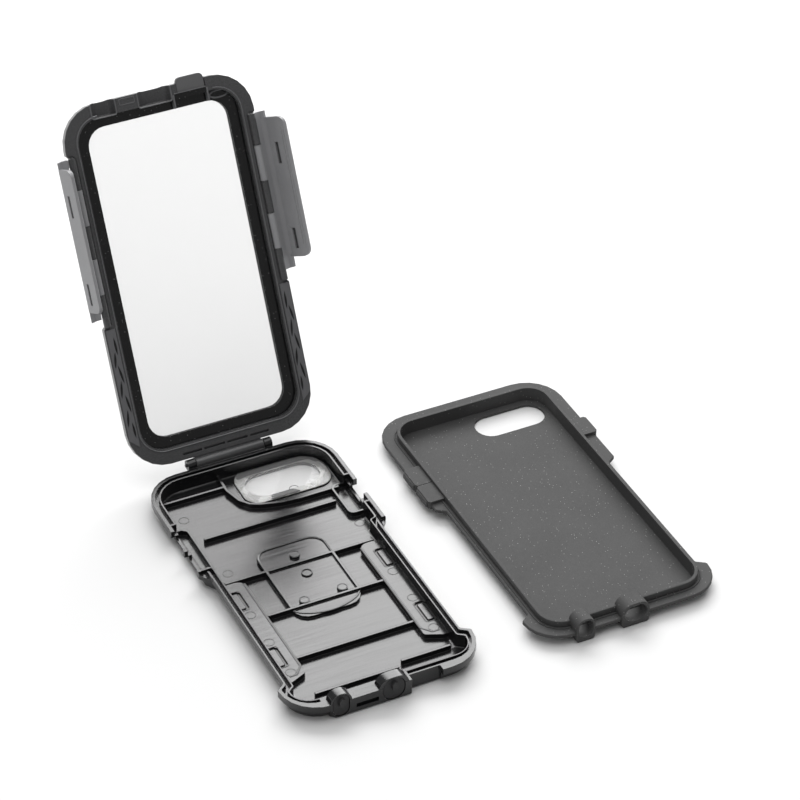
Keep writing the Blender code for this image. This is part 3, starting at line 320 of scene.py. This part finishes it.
def milky_bond():
    """Acrylic bonding film round the camera pane: cloudy grey, in patches 9 mm across where it wetted out."""
    material, tree, shader, where = new_finish("acrylic_bond_cured", "#8E8E8C", 0.35, IOR=1.48)
    wetting = add(tree, "TexNoise", {"Vector": where, "Scale": 1 / (9.0 * MM), "Detail": 3.0})
    patches = add(tree, "MapRange", {"Value": wetting.outputs["Fac"], "From Min": 0.46, "From Max": 0.54})
    cloudy = add(tree, "Mix", {
        "Factor": patches.outputs["Result"], "A": linear("#7C7C7A"), "B": linear("#B4B4B2")},
        data_type="RGBA")
    tree.links.new(cloudy.outputs["Result"], shader.inputs["Base Color"])
    return material


def blackened_steel():
    """Steel rod, drawn and blackened: dark metal with fine lines 0.2 mm apart."""
    material, tree, shader, where = new_finish("steel_drawn_blackened", "#4B4B4D", 0.34, Metallic=1.0)
    along = add(tree, "Mapping", {"Vector": where, "Scale": drawn_out(0.2, (20.0, 20.0, 1.0))})
    lines = add(tree, "TexNoise", {"Vector": along.outputs["Vector"], "Scale": 1.0, "Detail": 2.0})
    uneven_gloss(tree, shader, lines, 0.26, 0.42)
    return material


FINISHES = {
    "shell": polished_abs(),
    "lid": spark_grained("abs_satin_moulded", "#404041", "#4A4A4B", 0.26, 0.010),
    # The latches' grey is set far lighter than the lid's: the extra lightness is painted light, for the lamps
    # that their swung-out leaves face
    "latch": spark_grained("abs_grained_grey_painted_light", "#858587", "#929294", 0.33, 0.018),
    "window": clear_sheet("polycarbonate_window", 0.16, "#7E7E7E"),
    "camera": clear_sheet("polycarbonate_camera", 0.10, "#D8D8D8"),
    "border": border_ink(),
    "tab": spark_grained("tpe_tab_moulded", "#545455", "#626263", 0.50, 0.03),
    "step": spark_grained("abs_step_moulded", "#141415", "#1E1E1F", 0.35, 0.01),
    "rail": spark_grained("abs_rail_moulded", "#58585A", "#646466", 0.38, 0.015),
    # Near-black: painted shade in the lid rail's deep pockets and along the camera pane's rear edge; it also
    # draws the tray, darker than the shell, where the pane's film is missing
    "pocket": spark_grained("abs_pocket_painted_shade", "#070708", "#0B0B0C", 0.60, 0.015),
    "bond": milky_bond(),
    "plug": plug_rubber(),
    "liner": matt_silicone(),
    "pin": blackened_steel(),
}
CAD_FINISHES = {
    "rear_tray": "shell",
    "lid_frame": "lid",
    "left_latch": "latch",
    "right_latch": "latch",
    "lid_window": "window",
    "camera_pane": "camera",
    "window_seal": "border",
    "camera_pane_bond": "bond",
    "headphone_plug": "plug",
    "charging_plug": "plug",
    "lid_tab": "tab",
    "liner": "liner",
    "hinge_pin": "pin",
    "left_latch_pin": "pin",
    "right_latch_pin": "pin",
}


def crease_group():
    """Modifier nodes that weld a CAD node's triangles, and shade it smooth between its sharp edges."""
    group = bpy.data.node_groups.new("weld_and_crease", "GeometryNodeTree")
    for in_out in ("INPUT", "OUTPUT"):
        group.interface.new_socket("Geometry", in_out=in_out, socket_type="NodeSocketGeometry")
    chain = [group.nodes.new(kind) for kind in (
        "NodeGroupInput", "GeometryNodeMergeByDistance", "GeometryNodeRemoveAttribute",
        "GeometryNodeSetShadeSmooth", "GeometryNodeSetShadeSmooth", "NodeGroupOutput")]
    weld, drop, faces, edges = chain[1:5]
    weld.inputs["Distance"].default_value = WELD_DISTANCE
    drop.inputs["Name"].default_value = "custom_normal"
    faces.domain = "FACE"
    edges.domain = "EDGE"
    edges.inputs["Shade Smooth"].default_value = False
    angle = group.nodes.new("GeometryNodeInputMeshEdgeAngle")
    sharp = group.nodes.new("FunctionNodeCompare")
    sharp.operation = "GREATER_THAN"
    sharp.inputs["B"].default_value = math.radians(CREASE_DEGREES)
    group.links.new(angle.outputs["Unsigned Angle"], sharp.inputs["A"])
    group.links.new(sharp.outputs["Result"], edges.inputs["Selection"])
    for before, after in zip(chain, chain[1:]):
        group.links.new(before.outputs["Geometry"], after.inputs["Geometry"])
    return group


def finish_cad():
    """Gives every CAD node its finish, and shades its flat faces flat and its curves smooth."""
    creases = crease_group()
    for name, finish in CAD_FINISHES.items():
        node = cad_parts[name]
        for slot in node.material_slots:
            slot.material = FINISHES[finish]
        crease = node.modifiers.new("weld_and_crease", "NODES")
        crease.node_group = creases
        weigh = node.modifiers.new("flat_faces_first", "WEIGHTED_NORMAL")
        weigh.keep_sharp = True
        weigh.weight = 90
        weigh.mode = "FACE_AREA"


# Outlines, in millimetres

def arc_corners(corners, steps=8):
    """A flat outline whose corners (x, y, radius) are rounded off."""
    points = []
    for index, (x, y, radius) in enumerate(corners):
        corner = Vector((x, y))
        to_before = (Vector(corners[index - 1][:2]) - corner).normalized()
        to_after = (Vector(corners[(index + 1) % len(corners)][:2]) - corner).normalized()
        if radius <= 0.0:
            points.append(tuple(corner))
            continue
        half = to_before.angle(to_after) / 2
        centre = corner + (to_before + to_after).normalized() * (radius / math.sin(half))
        first = corner + to_before * (radius / math.tan(half)) - centre
        last = corner + to_after * (radius / math.tan(half)) - centre
        begin = math.atan2(first.y, first.x)
        turn = (math.atan2(last.y, last.x) - begin + math.pi) % math.tau - math.pi
        for step in range(steps + 1):
            angle = begin + turn * step / steps
            points.append((centre.x + radius * math.cos(angle), centre.y + radius * math.sin(angle)))
    return points


def rounded_box(x0, y0, x1, y1, radius):
    """A rectangle with rounded corners."""
    return arc_corners([(x0, y0, radius), (x1, y0, radius), (x1, y1, radius), (x0, y1, radius)], 5)


def oval(x, y, half_length, half_width, steps=28):
    """An ellipse along the axes, or a circle."""
    angles = [math.tau * k / steps for k in range(steps)]
    return [(x + half_length * math.cos(angle), y + half_width * math.sin(angle)) for angle in angles]


def lens(x, y, length, width, lean, steps=8):
    """A slender pointed lens, leaning a little off the rail."""
    right_edge = [(width / 2 * math.sin(math.pi * k / steps), length * (k / steps - 0.5))
                  for k in range(steps + 1)]
    left_edge = [(-across, along) for across, along in right_edge[-2:0:-1]]
    turn = Matrix.Rotation(math.radians(lean), 2)
    return [tuple(turn @ Vector(point) + Vector((x, y))) for point in right_edge + left_edge]


def mirrored(side, points):
    """The points of a section or outline, on the left (side -1) or right (side 1)."""
    return [(side * x, other) for x, other in points]


# Solids, in millimetres

def bead(shape, path, base, width, height, closed=True, steps=4):
    """Adds a low rounded ridge along a flat path, its foot sunk a little past base.

    A negative height turns the ridge the other way."""
    rows = []
    foot = base - math.copysign(SUNK, height)
    for index, (x, y) in enumerate(path):
        before = Vector(path[index - 1] if closed or index else path[0])
        after = Vector(path[(index + 1) % len(path)] if closed or index < len(path) - 1 else path[-1])
        along = (after - before).normalized()
        row = [shape.verts.new((x - along.y * width / 2, y + along.x * width / 2, foot))]
        for step in range(steps + 1):
            reach = width / 2 * math.cos(math.pi * step / steps)
            rise = base + height * math.sin(math.pi * step / steps)
            row.append(shape.verts.new((x - along.y * reach, y + along.x * reach, rise)))
        row.append(shape.verts.new((x + along.y * width / 2, y - along.x * width / 2, foot)))
        rows.append(row)
    for near, far in zip(rows, rows[1:] + rows[:1] if closed else rows[1:]):
        for k in range(len(near)):
            shape.faces.new((near[k - 1], near[k], far[k], far[k - 1]))
    if not closed:
        shape.faces.new(rows[0])
        shape.faces.new(rows[-1][::-1])


def prism(shape, outline, low, high, rim=0.0):
    """Adds a flat shape with upright walls, and a chamfer of size rim round its top."""
    rings = [[shape.verts.new((x, y, low)) for x, y in outline]]
    rings.append([shape.verts.new((x, y, high - rim)) for x, y in outline])
    if rim > 0.0:
        inner = []
        for index, (x, y) in enumerate(outline):
            before = Vector(outline[index - 1])
            after = Vector(outline[(index + 1) % len(outline)])
            along = (after - before).normalized()
            inner.append(shape.verts.new((x - along.y * rim, y + along.x * rim, high)))
        rings.append(inner)
    shape.faces.new(rings[0][::-1])
    shape.faces.new(rings[-1])
    for lower, upper in zip(rings, rings[1:]):
        for k in range(len(outline)):
            shape.faces.new((lower[k - 1], lower[k], upper[k], upper[k - 1]))


def extrusion(shape, section, near_end, far_end):
    """Adds a section (x, z) drawn out along Y."""
    near = [shape.verts.new((x, near_end, z)) for x, z in section]
    far = [shape.verts.new((x, far_end, z)) for x, z in section]
    shape.faces.new(near)
    shape.faces.new(far[::-1])
    for k in range(len(section)):
        shape.faces.new((near[k - 1], near[k], far[k], far[k - 1]))


def pierced_plate(name, outline, holes, thickness):
    """A flat plate with holes, half of its thickness on either side of zero."""
    curve = bpy.data.curves.new(name, "CURVE")
    curve.dimensions = "2D"
    curve.fill_mode = "BOTH"
    curve.extrude = thickness / 2
    for loop in (outline, *holes):
        spline = curve.splines.new("POLY")
        spline.points.add(len(loop) - 1)
        for point, (x, y) in zip(spline.points, loop):
            point.co = (x, y, 0.0, 1.0)
        spline.use_cyclic_u = True
    guide = bpy.data.objects.new(name, curve)
    mesh = bpy.data.meshes.new_from_object(guide)
    bpy.data.objects.remove(guide, do_unlink=True)
    shape = bmesh.new()
    shape.from_mesh(mesh)
    bpy.data.meshes.remove(mesh)
    bmesh.ops.remove_doubles(shape, verts=shape.verts, dist=0.0005)
    return shape


def piece(name, shape, place, body, finish, soften=0.0):
    """Turns millimetre geometry into a piece that rides on a body, with its finish."""
    bmesh.ops.recalc_face_normals(shape, faces=shape.faces)
    mesh = bpy.data.meshes.new(name)
    shape.to_mesh(mesh)
    shape.free()
    mesh.transform(place @ Matrix.Scale(MM, 4))
    mesh.shade_smooth()
    mesh.set_sharp_from_angle(angle=math.radians(CREASE_DEGREES))
    mesh.materials.append(FINISHES[finish])
    made = bpy.data.objects.new(name, mesh)
    bpy.context.scene.collection.objects.link(made)
    if soften > 0.0:
        edges = made.modifiers.new("edges", "BEVEL")
        edges.width = soften * MM
        edges.segments = 2
        edges.limit_method = "ANGLE"
    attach(made, body)


# Places of the parts that carry the small forms

TRAY = Matrix.Identity(4)
LID = Matrix.Translation(LID_HINGE) @ Matrix.Rotation(math.radians(-LID_OPEN), 4, "X")
LINER = Matrix.Translation(LINER_PLACE)


def latch_place(side, degrees):
    """Where a latch leaf stands: on its hinge along the lid's side, swung out by degrees."""
    hinge = Matrix.Translation((side * LATCH_HINGE_OUT, 0.0, -LATCH_HINGE_DROP))
    return LID @ hinge @ Matrix.Rotation(math.radians(-side * degrees), 4, "Y")


# Small forms of the tray

def tray_marks():
    """Ejector pin marks on the floor and platforms, and the rings on the centre panel."""
    mark_radius = 2.35
    on_platform = [(side * x, y) for side in (-1, 1)
                   for x, y in ((35.5, -15.5), (35.5, -36.0), (35.0, -58.3))]
    on_floor = [(-29.0, 80.2), (-35.3, 62.3), (-32.0, 18.2), (38.0, 25.4), (-21.0, -79.0), (21.0, 62.0)]
    shape = bmesh.new()
    for spots, level in ((on_platform, PLATFORM_TOP), (on_floor, FLOOR_TOP)):
        for x, y in spots:
            bead(shape, oval(x, y, mark_radius, mark_radius), level, width=0.34, height=0.12)
    piece("ejector_marks", shape, TRAY, "tray", "shell")
    ring_radius = 2.05
    shape = bmesh.new()
    bead(shape, oval(0.0, 1.4, mark_radius, mark_radius), MIDDLE_BOSS_TOP, width=0.75, height=0.40)
    for x, y in ((0.0, 15.0), (-9.2, -16.3), (10.0, -15.5)):
        bead(shape, oval(x, y, ring_radius, ring_radius), BOSS_TOP, width=0.42, height=0.14)
    piece("panel_rings", shape, TRAY, "tray", "shell")


def panel_outline():
    """The raised line round the centre panel, bold behind the second rib and shallow in front."""
    rear_half = 16.6
    rear_start = 10.4
    rear_end = 24.5
    corner = 7.0
    rear = arc_corners([(-rear_half, rear_start, 0.0), (-rear_half, rear_end, corner),
                        (rear_half, rear_end, corner), (rear_half, rear_start, 0.0)])
    front_half = 16.4
    front_start = -20.0
    bulge = 6.6
    steps = 16
    front = [(front_half * (2 * k / steps - 1), front_start - bulge * math.sin(math.pi * k / steps) ** 0.6)
             for k in range(steps + 1)]
    shape = bmesh.new()
    bead(shape, rear, PANEL_TOP, width=1.3, height=0.55, closed=False)
    bead(shape, front, PANEL_TOP, width=1.1, height=0.35, closed=False)
    piece("panel_outline", shape, TRAY, "tray", "shell")


def port_block_outline():
    """The raised rectangle on the port block, between the two collars."""
    shape = bmesh.new()
    bead(shape, rounded_box(-18.2, -89.0, -7.4, -86.0, 0.8), PORT_BLOCK_TOP, width=0.5, height=0.22)
    piece("port_block_outline", shape, TRAY, "tray", "shell")


def pocket_outlines(inset, radius):
    """The outlines of the four blind pockets in the side platforms, drawn in by inset."""
    outlines = []
    for side in (-1, 1):
        left, right = sorted((side * POCKET_INNER, side * POCKET_OUTER))
        for front, rear in POCKET_RUNS:
            outlines.append(rounded_box(left + inset, front + inset, right - inset, rear - inset, radius))
    return outlines


def pocket_frames():
    """The bright lips round the blind pockets in the side platforms."""
    shape = bmesh.new()
    for outline in pocket_outlines(-0.25, 1.3):
        bead(shape, outline, PLATFORM_TOP, width=0.5, height=0.16)
    piece("pocket_frames", shape, TRAY, "tray", "shell")


def platform_steps():
    """The dark rounded step along each side platform's inner edge and round its front corner."""
    shape = bmesh.new()
    for side in (-1, 1):
        edge = mirrored(side, [(29.35, 5.8), (29.35, -56.2), (33.2, -60.7), (36.6, -60.7)])
        bead(shape, edge, PLATFORM_TOP, width=1.25, height=0.22, closed=False)
    piece("platform_steps", shape, TRAY, "tray", "step")


def pocket_fillings():
    """The bar that stands in each blind pocket, and the dark floor round it."""
    pocket_floor = 3.0
    bars = bmesh.new()
    for outline in pocket_outlines(1.1, 0.8):
        prism(bars, outline, pocket_floor, PLATFORM_TOP - 0.05, rim=0.3)
    piece("pocket_bars", bars, TRAY, "tray", "shell")
    floors = bmesh.new()
    for outline in pocket_outlines(0.05, 1.0):
        prism(floors, outline, pocket_floor, pocket_floor + 0.16)
    piece("pocket_floors", floors, TRAY, "tray", "step")


def bond_gap_and_painted_shadow():
    """The stretches round the camera opening: in front, the dark tray where no film holds the pane; behind,
    painted shadow of the tray's rear wall.
    """
    # Front stretch: the dark tray where the film is missing. Rear stretch: painted shadow of the tray's rear
    # wall on the pane's edge
    front = arc_corners([(7.6, 58.3, 0.5), (23.5, 58.3, 0.5), (19.8, 61.6, 1.2), (9.2, 61.6, 0.6)])
    rear = arc_corners([(-2.4, 78.6, 1.0), (0.6, 82.6, 3.0), (37.6, 82.6, 4.0), (40.6, 75.5, 0.6),
                        (38.4, 75.5, 0.6), (35.6, 79.5, 4.0), (5.5, 79.5, 2.0)])
    shape = bmesh.new()
    for outline in (front, rear):
        prism(shape, outline, BOND_TOP - 0.05, BOND_TOP + 0.12)
    piece("bond_gap_and_painted_shadow", shape, TRAY, "tray", "pocket")


def rib_ends():
    """The thin webs that carry the second rib out to the platforms."""
    front = 8.9
    rear = 10.1
    shape = bmesh.new()
    for side in (-1, 1):
        left, right = sorted((side * 29.6, side * 37.2))
        outline = [(left, front), (right, front), (right, rear), (left, rear)]
        prism(shape, outline, FLOOR_TOP - 0.1, PLATFORM_TOP - 0.02, rim=0.1)
    piece("rib_ends", shape, TRAY, "tray", "shell")


# Small forms of the lid, which lies along -Y from its hinge, its inner face towards -Z

def lid_ridge():
    """The fine ridge that runs round the lid's rail, beside the pane's border."""
    half = 41.1
    front = -171.2
    rear = -9.4
    corner = 12.2
    path = arc_corners([(-half, front, corner), (-half, rear, corner), (half, rear, corner),
                        (half, front, corner)], 10)
    shape = bmesh.new()
    bead(shape, path, 0.0, width=0.7, height=-0.45, closed=False)
    piece("lid_ridge", shape, LID, "lid", "rail")


def lid_rails():
    """The side rails' skins, pierced by staggered lens-shaped pockets, whose near-black floors are painted
    shade.
    """
    # Each pocket's distance out, distance from the hinge, length and lean in degrees
    pockets = ((43.1, 23.5, 8.0, 3.0), (44.9, 29.5, 9.0, -9.0), (43.2, 36.6, 9.5, 8.0),
               (45.0, 43.8, 9.25, -9.0), (43.6, 51.0, 10.0, 8.0), (45.0, 58.0, 8.5, -9.0),
               (43.4, 64.6, 9.25, 2.0))
    pocket_width = 1.15
    skin_edge = ((42.0, -15.0), (46.5, -19.0), (46.6, -72.8), (42.0, -72.8))
    skin_thickness = 0.5
    skin_middle = -0.22
    for name, side in (("left", -1), ("right", 1)):
        holes = [lens(side * out, -along, length, pocket_width, side * lean)
                 for out, along, length, lean in pockets]
        shape = pierced_plate(name + "_rail", mirrored(side, skin_edge), holes, skin_thickness)
        bmesh.ops.translate(shape, verts=shape.verts, vec=(0.0, 0.0, skin_middle))
        piece(name + "_rail_skin", shape, LID, "lid", "rail")
        # Near-black pocket floors: painted shade, for the dark inside the deep pockets
        shape = bmesh.new()
        for hole in holes:
            prism(shape, hole, -0.06, 0.02)
        piece(name + "_rail_pocket_shade", shape, LID, "lid", "pocket")


def arch_lips():
    """The lips round the two hollows in the lid's front rail that clear the port collars."""
    front = -176.9
    rear = -169.9
    shape = bmesh.new()
    for centre, half in ((-25.2, 6.05), (0.2, 8.3)):
        path = arc_corners([(centre - half, front, 0.0), (centre - half, rear, 1.0),
                            (centre + half, rear, 1.0), (centre + half, front, 0.0)], 4)
        bead(shape, path, 0.0, width=0.7, height=-0.5, closed=False)
    bead(shape, rounded_box(-17.0, -176.2, -9.6, -173.4, 0.6), 0.0, width=0.4, height=-0.2)
    piece("arch_lips", shape, LID, "lid", "rail")


def tab_recess():
    """The black recess below the tab, between two thin ribs, and the oval mark in the border's corner."""
    shape = bmesh.new()
    prism(shape, rounded_box(9.9, -172.3, 25.7, -169.9, 0.4), -0.1, 0.3)
    piece("tab_recess", shape, LID, "lid", "border")
    rib_half = 0.4
    shape = bmesh.new()
    for rib in (9.3, 26.2):
        prism(shape, rounded_box(rib - rib_half, -172.2, rib + rib_half, -165.7, 0.2), -0.15, BORDER_FACE)
    bead(shape, [(9.8, -172.6), (25.8, -172.6)], 0.0, width=0.5, height=-0.25, closed=False)
    bead(shape, oval(32.2, -167.6, 4.6, 1.7), BORDER_FACE, width=0.9, height=-0.35)
    piece("tab_recess_ribs", shape, LID, "lid", "rail")


def hinge_shrouds():
    """The lid's wall behind each latch hinge, curved round its barrels."""
    section = ((42.6, 0.2), (43.05, 0.2), (43.2, 0.9), (43.9, 1.7), (45.0, 2.1), (45.0, 2.6), (42.6, 3.2))
    for name, side in (("left", -1), ("right", 1)):
        shape = bmesh.new()
        extrusion(shape, mirrored(side, section), -154.7, -74.6)
        piece(name + "_hinge_shroud", shape, LID, "lid", "lid")


def hinge_cheeks():
    """The lid's end walls beside the latch hinges."""
    shape = bmesh.new()
    for side in (-1, 1):
        left, right = sorted((side * 42.7, side * 46.4))
        for front, rear in ((-155.9, -155.05), (-74.15, -73.4)):
            prism(shape, rounded_box(left, front, right, rear, 0.15), 0.3, 2.9)
    piece("hinge_cheeks", shape, LID, "lid", "lid")


# Small forms of the latches, each in its own frame with the hinge along Y

def latch_cove(name, side, place):
    """The rounded fillet inside the corner of a latch's hook."""
    radius = 2.2
    centre_x = -2.3
    centre_z = -4.5
    wall = -0.1
    buried = LEAF_FACE - 0.1
    steps = 6
    section = [(wall, buried), (wall, centre_z)]
    for k in range(1, steps):
        angle = math.pi / 2 * k / steps
        section.append((centre_x + radius * math.cos(angle), centre_z - radius * math.sin(angle)))
    section += [(centre_x, LEAF_FACE), (centre_x, buried)]
    shape = bmesh.new()
    extrusion(shape, mirrored(side, section), -150.9, -84.9)
    piece(name + "_cove", shape, place, name, "latch")


def latch_ridges(name, side, place):
    """The two fine ridges along a latch's free edge, and the half-round marks beside its cove."""
    shape = bmesh.new()
    for x in (-10.4, -11.8):
        ridge = mirrored(side, [(x, -146.5), (x, -89.5)])
        bead(shape, ridge, LEAF_FACE, width=0.6, height=0.26, closed=False)
    radius = 2.0
    steps = 12
    angles = [math.pi * k / steps for k in range(steps + 1)]
    for middle in (-97.0, -118.0, -139.0):
        arc = [(-2.6 - radius * math.sin(angle), middle + radius * math.cos(angle)) for angle in angles]
        bead(shape, mirrored(side, arc), LEAF_FACE, width=0.35, height=0.15, closed=False)
    piece(name + "_edge_steps", shape, place, name, "latch")


def latch_slot_floors(name, side, place):
    """The hatched floors of a latch's two slots."""
    lines = 12
    shape = bmesh.new()
    left, right = sorted((side * -6.9, side * -5.1))
    for front, rear in ((-97.7, -87.4), (-139.5, -129.1)):
        plate = rounded_box(left - 0.2, front - 0.1, right + 0.2, rear + 0.1, 0.1)
        prism(shape, plate, SLOT_FLOOR - 0.5, SLOT_FLOOR)
        for k in range(lines):
            y = front + 0.5 + (rear - front - 1.0) * k / (lines - 1)
            bead(shape, [(left, y), (right, y + 0.5)], SLOT_FLOOR, width=0.3, height=0.14, closed=False)
    piece(name + "_slot_floors", shape, place, name, "lid")


def latch_ends(name, side, place):
    """The ends of a latch leaf: the wall carried on beside the hinge, and the slanted corners of its hook."""
    wall = [(-0.15, -1.87), (1.5, -1.87), (1.8, -2.3), (1.8, -6.0), (0.3, -7.4), (-0.15, -7.4)]
    front_corner = [(0.0, -151.3), (-3.4, -151.3), (-9.0, -147.6), (0.0, -147.6)]
    rear_corner = [(0.0, -84.1), (-1.6, -84.1), (-12.0, -87.6), (0.0, -87.6)]
    shape = bmesh.new()
    for near_end, far_end in ((-154.4, -150.9), (-85.0, -81.0)):
        extrusion(shape, mirrored(side, wall), near_end, far_end)
    for corner in (front_corner, rear_corner):
        prism(shape, mirrored(side, corner), -7.9, LEAF_FACE - 0.02)
    piece(name + "_ends", shape, place, name, "latch", soften=0.25)


# Small forms of the liner

def liner_lip():
    """The second lip, outside the one that the phone sits in."""
    shape = bmesh.new()
    bead(shape, rounded_box(-41.75, -84.9, 41.75, 81.5, 12.4), FLANGE_TOP, width=0.8, height=0.55)
    piece("liner_second_lip", shape, LINER, "tray", "liner")


def liner_button_faces():
    """The raised faces of the two left button pads, drawn flat and then stood up against the pads."""
    pad_face = 48.7
    shape = bmesh.new()
    for front, rear in ((35.3, 46.6), (21.5, 32.6)):
        prism(shape, rounded_box(front, 3.2, rear, 6.5, 0.9), 0.0, 0.9, rim=0.35)
    stand_up = Matrix(((0, 0, -1), (1, 0, 0), (0, 1, 0))).to_4x4()
    move_out = Matrix.Translation((-pad_face, 0.0, 0.0))
    bmesh.ops.transform(shape, matrix=move_out @ stand_up, verts=shape.verts)
    piece("liner_button_faces", shape, LINER, "tray", "liner")


place_camera()
light_studio()
lay_floor()
finish_cad()
tray_marks()
panel_outline()
port_block_outline()
pocket_frames()
platform_steps()
pocket_fillings()
bond_gap_and_painted_shadow()
rib_ends()
lid_ridge()
lid_rails()
arch_lips()
tab_recess()
hinge_shrouds()
for name, side, degrees in LATCHES:
    place = latch_place(side, degrees)
    for dress in (latch_cove, latch_ridges, latch_slot_floors, latch_ends):
        dress(name, side, place)
hinge_cheeks()
liner_lip()
liner_button_faces()
